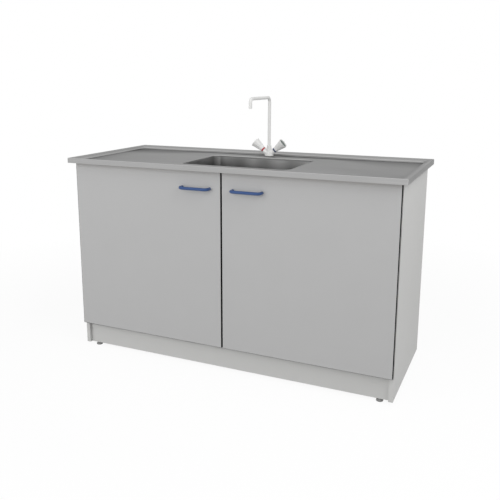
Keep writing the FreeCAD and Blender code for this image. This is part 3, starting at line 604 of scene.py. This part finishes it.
chipboard = Finish("raw_chipboard", Specular_IOR_Level=0.2)
chips = chipboard.node("TexCoord", {}, {}, "Object")
chips = chipboard.node("TexVoronoi", {}, {"Vector": chips, "Scale": 330.0}, "Color")
chip_tone = chipboard.node("SeparateXYZ", {}, {0: chips}, "X")
chipboard.colour(chip_tone * 0.8 + chipboard.noise(60) * 0.2,
                 (0.52, 0.37, 0.20), (0.27, 0.17, 0.085))
chipboard.roughness(0.75 + chip_tone * 0.15)
chipboard.bump(chip_tone, 0.0003, 0.5)
dressed("underlay_board", "cabinet", chipboard, rounding=0.0004)


# ---------------------------------------------------------------- bowl
# Deep-drawn stainless bowl, polished by hand: lines run level round its walls and in
# rings about the drain on its floor. Its flange is welded under the worktop's collar.

bowl_steel = Finish("drawn_bowl", Metallic=1.0, Specular_Tint=(0.6, 0.6, 0.6, 1))
drain_low, drain_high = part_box("waste_gasket")
drain = (drain_low + drain_high) / 2
normal = bowl_steel.node("TexCoord", {}, {}, "Normal")
facing = bowl_steel.node("SeparateXYZ", {}, {0: normal}, "Z")
facing = bowl_steel.node("Math", {"operation": "ABSOLUTE"}, {0: facing})
place = bowl_steel.node("TexCoord", {}, {}, "Object")
flat_place = bowl_steel.node("VectorMath", {"operation": "MULTIPLY_ADD"},
                             {0: place, 1: (1, 1, 0), 2: (-drain.x, -drain.y, 0)})
from_drain = bowl_steel.node("VectorMath", {"operation": "LENGTH"}, {0: flat_place}, "Value")
height = bowl_steel.node("SeparateXYZ", {}, {0: place}, "Z")
across = from_drain * facing + height * (1 - facing)
bowl_across_lines = 800.0
lines = bowl_steel.node("CombineXYZ", {}, {0: across * bowl_across_lines})
fine = bowl_steel.node("TexNoise", {}, {"Vector": lines, "Scale": 1.0, "Detail": 3.0})
cloud = bowl_steel.noise(7, (1.0, 1.0, 0.15), 2)

# Upright streaks on the walls, painted light at the mouth, and painted shade on the left wall.
streak_rate, streak_start, streak_waver = 46.5, 7.2, 3.0
bowl_tone, streak_contrast, bowl_line_contrast = 0.405, 0.17, 0.05
mouth_painted_light, mouth_start, mouth_end = 0.60, 0.143, 0.196
left_wall_painted_shade = 0.36
along = bowl_steel.node("SeparateXYZ", {}, {0: place}, "X") * streak_rate + cloud * streak_waver
streaks = bowl_steel.node("Math", {"operation": "COSINE"}, {0: along + streak_start}) * 0.5 + 0.5
# Painted light: the walls are lighter towards the mouth.
mouth = ramp(bowl_steel, height, drain_high.z + mouth_start, drain_high.z + mouth_end)
# Painted shade: the left wall, which faces right, is darker.
left_wall = bowl_steel.node("SeparateXYZ", {}, {0: normal}, "X")
left_wall = ramp(bowl_steel, left_wall, 0.1, 0.9)
tone = bowl_tone + streaks * streak_contrast + (fine - 0.5) * bowl_line_contrast
tone = tone * (1.0 + mouth * mouth_painted_light) * (1 - left_wall * left_wall_painted_shade)
bowl_steel.colour(tone, (0.0, 0.0, 0.0), (1.0, 1.0, 0.997))
bowl_steel.roughness(0.22 + fine * 0.08 + cloud * 0.08)
bowl_steel.bump(fine, 0.00002, 0.25)
dressed("sink_bowl", "cabinet", bowl_steel, crease=25)


# ---------------------------------------------------------------- waste and bottle trap
# A perforated steel strainer is screwed through the bowl to a white moulded waste. Slip
# nuts join its pipe, the bottle trap and the outlet pipe, which leaves through the back.

dressed("waste_strainer", "cabinet", bowl_steel, crease=30, rounding=0.0002)
dressed("strainer_screw", "cabinet", zinc, crease=30, rounding=0.0002)

rubber = Finish("seal_rubber", Specular_IOR_Level=0.3)
rubber.colour(rubber.noise(600), (0.020, 0.020, 0.020), (0.011, 0.011, 0.011))
rubber.roughness(0.62 + rubber.noise(900) * 0.2)
for node in ("waste_gasket", "tap_gasket", "shank_washer"):
    dressed(node, "cabinet", rubber, rounding=0.0003)

polypropylene = Finish("polypropylene", Specular_IOR_Level=0.4, Subsurface_Weight=0.08,
                       Subsurface_Radius=(0.002, 0.002, 0.002))
polypropylene.colour(polypropylene.noise(45, detail=3), (0.80, 0.80, 0.78), (0.74, 0.74, 0.725))
polypropylene.roughness(0.38 + polypropylene.noise(300) * 0.12)
polypropylene.bump(polypropylene.noise(1500), 0.00003, 0.3)
for node in ("waste_body", "trap_inlet_pipe", "trap_head", "outlet_pipe"):
    dressed(node, "cabinet", polypropylene, crease=30, rounding=0.0004)

# Each nut is open at both ends and has 20 gripping ribs; it is made about Z.
nut_profile = [(0.0230, 0.0), (0.0272, 0.0), (0.0279, 0.0007), (0.0279, 0.0190), (0.0268, 0.0214),
               (0.0240, 0.0220), (0.0200, 0.0220), (0.0200, 0.0140), (0.0230, 0.0140)]
nut = ribbed(turned(nut_profile), polypropylene, ribs=20, circle=0.0277, rib_radius=0.0013,
             rib_length=0.0160, middle=(0, 0, 0.0102))
waste_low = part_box("waste_body")[0].z
head_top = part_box("trap_head")[1]
nut_skirt, outlet_bead_radius = 0.014, 0.022
outlet_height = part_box("outlet_pipe")[0].z + outlet_bead_radius
upside_down = Matrix.Rotation(math.pi, 4, "X")
to_the_rear = Matrix.Rotation(-math.pi / 2, 4, "X")
nuts = [(nut, at(drain.x, drain.y, waste_low + nut_skirt) @ upside_down),
        (nut, at(drain.x, drain.y, head_top.z - nut_skirt)),
        (nut, at(drain.x, head_top.y - nut_skirt, outlet_height) @ to_the_rear)]
finished("trap_nuts_piece", joined(nuts), "cabinet", polypropylene,
         ("trap_nuts",), crease=30)

# The bottle has a ribbed grip at its top, by which it is unscrewed for cleaning.
bottle_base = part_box("trap_bottle")[0].z
bottle_profile = [(0.0, 0.0), (0.0200, 0.0), (0.0262, 0.0022), (0.0296, 0.0062), (0.0312, 0.0110),
                  (0.0318, 0.0160), (0.0318, 0.0725), (0.0345, 0.0755), (0.0345, 0.0885),
                  (0.0335, 0.0898), (0.0316, 0.0900), (0.0316, 0.0970), (0.0290, 0.0970),
                  (0.0290, 0.0200), (0.0265, 0.0085), (0.0180, 0.0040), (0.0, 0.0040)]
bottle = ribbed(turned(bottle_profile), polypropylene, ribs=28, circle=0.0345,
                rib_radius=0.0014, rib_length=0.0120, middle=(0, 0, 0.0820))
bottle_place = at(drain.x, drain.y, bottle_base)
finished("trap_bottle_piece", joined([(bottle, bottle_place)]), "cabinet",
         polypropylene, ("trap_bottle",), crease=28)


# ---------------------------------------------------------------- mixer tap
# Brass body with two slanted valve bosses and a swivel spout of bent tube, all powder
# coated white. A threaded shank, washer and nut clamp it to the worktop.

def powder_coat(name, light, dark, rough):
    """Baked powder coat with a fine orange-peel surface."""
    coat = Finish(name, Specular_IOR_Level=0.5, Coat_Weight=0.15, Coat_Roughness=0.25)
    coat.colour(coat.noise(260, detail=3), light, dark)
    coat.roughness(rough + coat.noise(700) * 0.08)
    coat.bump(coat.noise(900, detail=1), 0.00003, 0.2)
    return coat


white_coat = powder_coat("white_powder_coat", (0.80, 0.80, 0.79), (0.74, 0.74, 0.73), 0.30)
gasket_low, gasket_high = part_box("tap_gasket")
tap = Vector((0, (gasket_low.y + gasket_high.y) / 2, gasket_high.z))
dressed("tap_body", "cabinet", white_coat, crease=30, rounding=0.0006)
dressed("spout_collar", "cabinet", white_coat, crease=30, rounding=0.0008)


def bend_path(points, bend, steps=14):
    """Points along straight runs with round bends of one radius between them."""
    path = [points[0]]
    for before, corner, after in zip(points, points[1:], points[2:]):
        back = (before - corner).normalized()
        ahead = (after - corner).normalized()
        half_turn = back.angle(ahead) / 2
        reach = bend / math.tan(half_turn)
        middle = corner + (back + ahead).normalized() * (bend / math.sin(half_turn))
        entry = (corner + back * reach - middle).normalized()
        leave = (corner + ahead * reach - middle).normalized()
        for step in range(steps + 1):
            path.append(middle + entry.slerp(leave, step / steps) * bend)
    return path + [points[-1]]


def bent_tube(path, square, outer, inner=0.0, steps=48):
    """Mesh of a tube along a path in the plane square to a direction, or of a bar."""
    shape = bmesh.new()
    layers = [outer, inner] if inner else [outer]
    rings = {radius: [] for radius in layers}
    for index, point in enumerate(path):
        before = path[max(index - 1, 0)]
        after = path[min(index + 1, len(path) - 1)]
        run = (after - before).normalized()
        other = run.cross(square)
        for radius in layers:
            ring = []
            for step in range(steps):
                angle = 2 * math.pi * step / steps
                aside = square * math.cos(angle) + other * math.sin(angle)
                ring.append(shape.verts.new(point + radius * aside))
            rings[radius].append(ring)
    for radius in layers:
        for ring, above in zip(rings[radius], rings[radius][1:]):
            for step in range(steps):
                corner = (step + 1) % steps
                shape.faces.new((ring[step], ring[corner], above[corner], above[step]))
    for end in (0, -1):
        if inner:
            for step in range(steps):
                corner = (step + 1) % steps
                shape.faces.new((rings[outer][end][step], rings[outer][end][corner],
                                 rings[inner][end][corner], rings[inner][end][step]))
        else:
            shape.faces.new(rings[outer][end])
    bmesh.ops.recalc_face_normals(shape, faces=shape.faces)
    mesh = bpy.data.meshes.new("tube")
    shape.to_mesh(mesh)
    shape.free()
    return mesh


spout_radius, spout_bore, spout_bend = 0.0075, 0.0060, 0.020
spout_past_aerator, bead_base = 0.001, 0.0338
spout_low, spout_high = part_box("spout_pipe")
arm_height = spout_high.z - spout_radius
tip = sum(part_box("aerator"), Vector()) / 2
tip.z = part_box("aerator")[0].z - spout_past_aerator
spout_points = [Vector((0, tap.y, spout_low.z)), Vector((0, tap.y, arm_height)),
                Vector((0, tip.y, arm_height)), tip]
spout = bent_tube(bend_path(spout_points, spout_bend), Vector((1, 0, 0)), spout_radius, spout_bore)
bead = turned([(0.0060, 0), (0.0095, 0), (0.0095, 0.0044), (0.0060, 0.0044)])
spout = joined([(spout, at(0, 0, 0)), (bead, at(0, tap.y, tap.z + bead_base))])
finished("spout_piece", spout, "spout", white_coat, ("spout_pipe",), crease=30,
         rounding=0.0003)

black_plastic = Finish("black_plastic", Specular_IOR_Level=0.4)
black_plastic.colour(black_plastic.noise(800), (0.018, 0.018, 0.019), (0.010, 0.010, 0.011))
black_plastic.roughness(0.4 + black_plastic.noise(1200) * 0.15)
dressed("aerator", "spout", black_plastic, rounding=0.0002)

turned_brass = Finish("turned_brass", Metallic=1.0)
lathe_lines = turned_brass.noise(1.0, (60, 60, 4500), 2)
turned_brass.colour(lathe_lines, (0.60, 0.43, 0.19), (0.44, 0.30, 0.12))
turned_brass.roughness(0.24 + lathe_lines * 0.15)
shank_low, shank_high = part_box("tap_shank")
shank = threaded(0.0140, depth=0.0007, pitch=0.0018, low=shank_low.z, high=shank_high.z, steps=72)
finished("tap_shank_thread", joined([(shank, at(tap.x, tap.y, 0))]), "cabinet",
         turned_brass, ("tap_shank",), crease=80)
nut_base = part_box("shank_nut")[0].z
nut_corner_radius, nut_bore, nut_height = 0.0199, 0.0138, 0.010
hex_nut = turned([(nut_corner_radius, 0), (nut_corner_radius, nut_height),
                  (nut_bore, nut_height), (nut_bore, 0)], steps=6)
finished("shank_nut_piece", joined([(hex_nut, at(tap.x, tap.y, nut_base))]), "cabinet",
         turned_brass, ("shank_nut",), crease=30, rounding=0.0006)

copper = Finish("drawn_copper", Metallic=1.0)
copper.colour(copper.noise(40, (1, 1, 0.2), 3), (0.72, 0.36, 0.22), (0.48, 0.22, 0.13))
copper.roughness(0.22 + copper.noise(500, (1, 1, 0.05)) * 0.16)
dressed("supply_tails", "cabinet", copper, crease=40)


# ---------------------------------------------------------------- valves and tap handles
# Ceramic headworks screwed into the slanted bosses, each with a spindle, a colour ring
# and a flared white handle with a grey cap pressed into its end, whose dark grey-green is
# partly painted shade of the hollow end.

dressed("headworks", "cabinet", turned_brass, crease=30, rounding=0.0002)

handle_plastic = Finish("handle_plastic", Specular_IOR_Level=0.5, Coat_Weight=0.2,
                        Coat_Roughness=0.2)
handle_plastic.colour(handle_plastic.noise(160), (0.80, 0.80, 0.79), (0.755, 0.755, 0.745))
handle_plastic.roughness(0.28 + handle_plastic.noise(600) * 0.08)
# Dark grey-green cap: partly its own colour, partly painted shade of the hollow end.
cap_plastic_and_end_shade = Finish("cap_plastic_and_end_shade", Specular_IOR_Level=0.4)
cap_plastic_and_end_shade.colour(cap_plastic_and_end_shade.noise(500), (0.155, 0.185, 0.170), (0.125, 0.150, 0.138))
cap_plastic_and_end_shade.roughness(0.45 + cap_plastic_and_end_shade.noise(900) * 0.1)
ring_plastics = {"hot": ("ring_red", (0.52, 0.030, 0.045), (0.40, 0.020, 0.032)),
                 "cold": ("ring_blue", (0.030, 0.050, 0.140), (0.020, 0.034, 0.100))}

# A handle is made about Z. Its sizes are heights on the valve's axis and radii, and its
# flutes run between two shares of its length, where they fade in and out.
valve_slant = math.radians(39.0)
valve_rise = 0.0045
valve_root = tap + Vector((0, 0, valve_rise))
handle_start, handle_end = 0.041, 0.092
root_radius, mouth_radius, wall = 0.0118, 0.0230, 0.0008
flutes, flute_depth = 12, 0.0007
flute_start, flute_end, fade_in, fade_out = 0.12, 0.90, 0.12, 0.10


def outside_radius(share):
    """The handle's outside radius at a share of its length."""
    return root_radius + share * (mouth_radius - root_radius)


def grip(angle, height, radius):
    """Depth of the twelve shallow flutes along the outside of the handle."""
    share = (height - handle_start) / (handle_end - handle_start)
    outside = radius > outside_radius(share) - wall
    if not outside or not flute_start < share < flute_end:
        return 0.0
    fade = min(1.0, (share - flute_start) / fade_in, (flute_end - share) / fade_out)
    return flute_depth * fade * (0.5 - 0.5 * math.cos(flutes * angle)) ** 2


handle_rows = 16
outside_line = [(outside_radius(row / handle_rows),
                 handle_start + (handle_end - handle_start) * row / handle_rows)
                for row in range(handle_rows)]
handle_profile = [(0.0040, 0.0363), (0.0100, 0.0363), (0.0100, handle_start)] + outside_line
handle_profile += [(0.02275, 0.0915), (0.0222, 0.0920), (0.0212, 0.0920), (0.0206, 0.0914),
                   (0.0104, 0.0450), (0.0070, 0.0450), (0.0070, 0.0740), (0.0040, 0.0740)]
handle_mesh = turned(handle_profile, 144, grip)
cap_mesh = turned([(0, 0.0862), (0.0190, 0.0862), (0.0193, 0.0868), (0.0195, 0.0880),
                   (0.0187, 0.0884), (0.0156, 0.0878), (0.0152, 0.0873), (0.0, 0.0873)])
ring_mesh = turned([(0.0100, 0.0346), (0.0114, 0.0346), (0.0120, 0.0352), (0.0120, 0.0402),
                    (0.0115, 0.0409), (0.0100, 0.0409)])
for side, name in ((-1, "hot"), (1, "cold")):
    slant = at(*valve_root) @ Matrix.Rotation(side * (math.pi / 2 - valve_slant), 4, "Y")
    body = name + "_valve_handle"
    slot, light, dark = ring_plastics[name]
    ring_plastic = Finish(name + "_ring_plastic", Specular_IOR_Level=0.5)
    ring_plastic.colour(ring_plastic.noise(400), light, dark)
    ring_plastic.roughness(0.3 + ring_plastic.noise(800) * 0.1)
    finished(name + "_handle_piece", joined([(handle_mesh, slant)]), body,
             handle_plastic, (name + "_handle",), crease=40)
    finished(name + "_cap_piece", joined([(cap_mesh, slant)]), body, cap_plastic_and_end_shade,
             (name + "_handle_cap",), crease=40)
    finished(name + "_ring_piece", joined([(ring_mesh, slant)]), body, ring_plastic,
             (name + "_ring",), crease=40)
    dressed(name + "_spindle", body, turned_brass, rounding=0.0002)


# ---------------------------------------------------------------- doors
# Flush doors of grey melamine board with near-black edge banding, which is also painted
# shade for the gaps round and under the doors, blue powder-coated bow handles screwed on
# from behind, and soft buffers between them and the cabinet.

door_film = melamine("door_melamine", (0.475, 0.475, 0.475), (0.435, 0.435, 0.435))
# Near-black banding: partly the edging's own colour, partly painted shade in the door gaps.
edge_banding_and_gap_shade = Finish("dark_banding", Specular_IOR_Level=0.02)
edge_banding_and_gap_shade.colour(edge_banding_and_gap_shade.noise(700), (0.010, 0.010, 0.011), (0.006, 0.006, 0.007))
edge_banding_and_gap_shade.roughness(0.75 + edge_banding_and_gap_shade.noise(900) * 0.15)
blue_coat = powder_coat("blue_powder_coat", (0.026, 0.072, 0.215), (0.021, 0.060, 0.180), 0.36)
soft_buffer = Finish("soft_buffer", Specular_IOR_Level=0.4, Transmission_Weight=0.35)
soft_buffer.colour(soft_buffer.noise(500), (0.72, 0.72, 0.70), (0.64, 0.64, 0.62))
soft_buffer.roughness(0.30 + soft_buffer.noise(700) * 0.1)

bar_radius, bar_bend, bar_reach = 0.0065, 0.016, 0.030
for side, name in ((-1, "left"), (1, "right")):
    body = name + "_door"
    dressed(name + "_door_panel", body, door_film, rounding=0.0004)
    dressed(name + "_door_edging", body, edge_banding_and_gap_shade)
    dressed(name + "_handle_screws", body, zinc, crease=30, rounding=0.0003)
    low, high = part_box(name + "_door_handle")
    feet = [low.x + bar_radius, high.x - bar_radius]
    height = (low.z + high.z) / 2
    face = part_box(name + "_door_panel")[0].y
    corners = [Vector((feet[0], face, height)), Vector((feet[0], face - bar_reach, height)),
               Vector((feet[1], face - bar_reach, height)), Vector((feet[1], face, height))]
    bar = bent_tube(bend_path(corners, bar_bend), Vector((0, 0, 1)), bar_radius)
    finished(name + "_bow_handle", bar, body, blue_coat,
             (name + "_door_handle",), crease=40, rounding=0.0006)
dressed("door_buffers", "cabinet", soft_buffer, rounding=0.0008)
